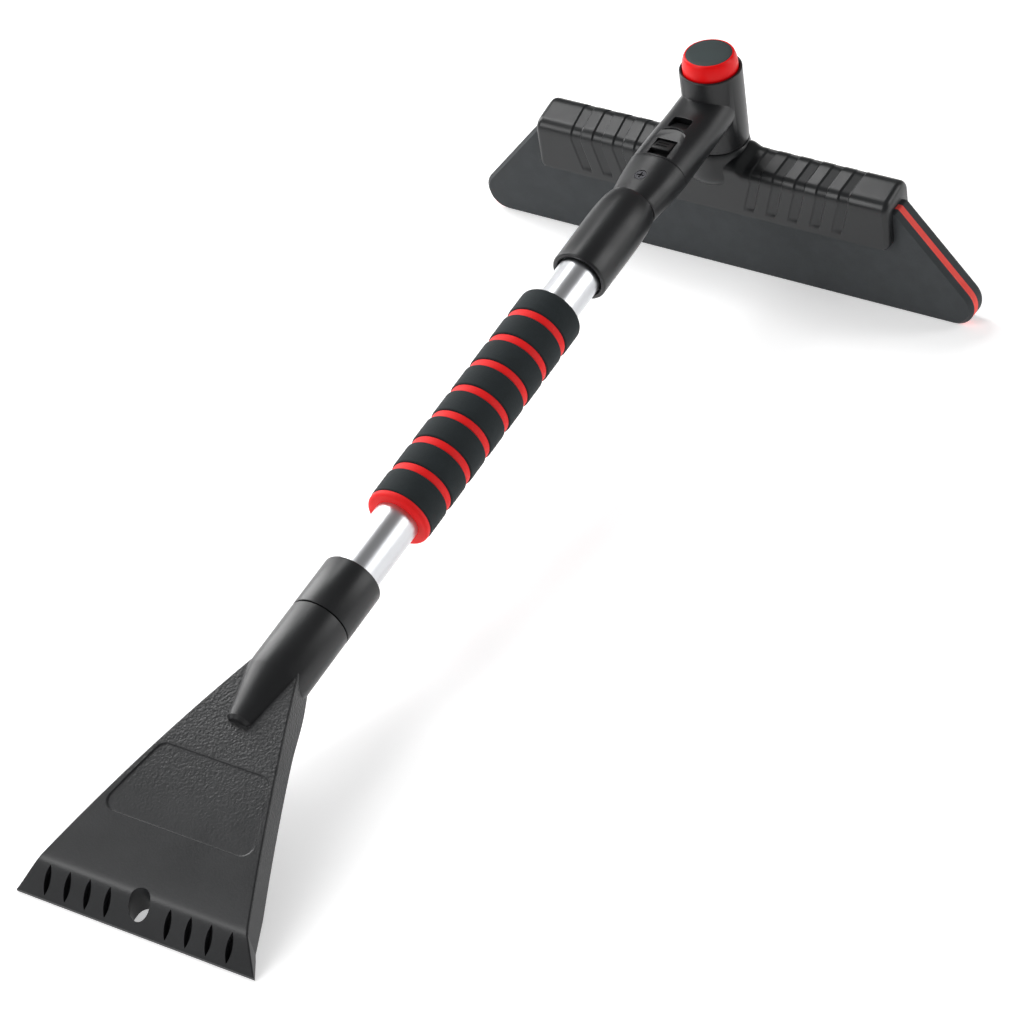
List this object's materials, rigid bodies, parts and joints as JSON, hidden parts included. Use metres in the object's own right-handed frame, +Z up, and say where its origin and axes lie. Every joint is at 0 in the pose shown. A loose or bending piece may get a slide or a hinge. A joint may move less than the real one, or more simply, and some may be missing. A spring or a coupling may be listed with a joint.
{
  "type": "ice scraper",
  "caption": "Winter car tool: toothed ice scraper on a tube handle with a striped foam grip, and a swivelling foam snow head held by a push-button lock.",
  "frame": {"origin": "centre of the object's footprint, on the floor that the foam board's lower edge and the scraper's edge both stand on", "axes": "+X along the foam head, +Y from the scraper towards the head, +Z up along the swivel axis"},
  "size_m": [0.2798, 0.5368, 0.1233],
  "materials": {
    "satin_aluminium": "satin, drawn along the tube",
    "grip_foam": "fine closed-cell foam",
    "grip_red": "fine closed-cell foam",
    "black_plastic": "satin moulded",
    "blade_plastic": "pebble-grained moulded",
    "neck_plastic": "satin moulded",
    "latch_plastic": "satin moulded",
    "clip_plastic": "satin moulded",
    "button_red": "semi-gloss moulded",
    "button_slate": "matte moulded",
    "steel": "zinc plated",
    "foam_black": "cut closed-cell foam",
    "foam_red": "cut closed-cell foam"
  },
  "bodies": {
    "handle": {"handle_tube": "satin_aluminium", "grip_foam_bands": "grip_foam", "grip_red_rings": "grip_red", "sleeve": "black_plastic", "lower_collar": "black_plastic", "tube_plug": "black_plastic", "socket_screw": "steel", "scraper_blade": "blade_plastic", "connector": "black_plastic", "connector_core": "black_plastic", "connector_screw": "steel", "latch_pin": "steel", "neck_housing": "neck_plastic"},
    "latch": {"thumb_latch": "latch_plastic"},
    "button": {"button_ring": "button_red", "button_cap": "button_slate", "lock_ring": "neck_plastic", "button_spring": "steel"},
    "head": {"swivel_post": "neck_plastic", "swivel_washer": "steel", "lock_gear": "neck_plastic", "swivel_bolt": "steel", "wear_ring": "black_plastic", "head_clip_front": "clip_plastic", "head_clip_rear": "clip_plastic", "clip_screws": "steel", "foam_front": "foam_black", "foam_core": "foam_red", "foam_rear": "foam_black"}
  },
  "joints": [
    {"name": "head_swivel", "type": "hinge", "parent": "handle", "child": "head", "pos_m": [0, 0.25282, 0.081], "axis": [0, 0, 1], "continuous": true},
    {"name": "button_press", "type": "slide", "parent": "handle", "child": "button", "axis": [0, 0, -1], "range_m": [0, 0.0045], "stiffness_N_per_m": 1500, "deforming": ["button_spring"]},
    {"name": "latch_press", "type": "hinge", "parent": "handle", "child": "latch", "pos_m": [0, 0.19086, 0.09342], "axis": [-1, 0, 0], "range_deg": [0, 6], "stiffness_Nm_per_rad": 2}
  ]
}
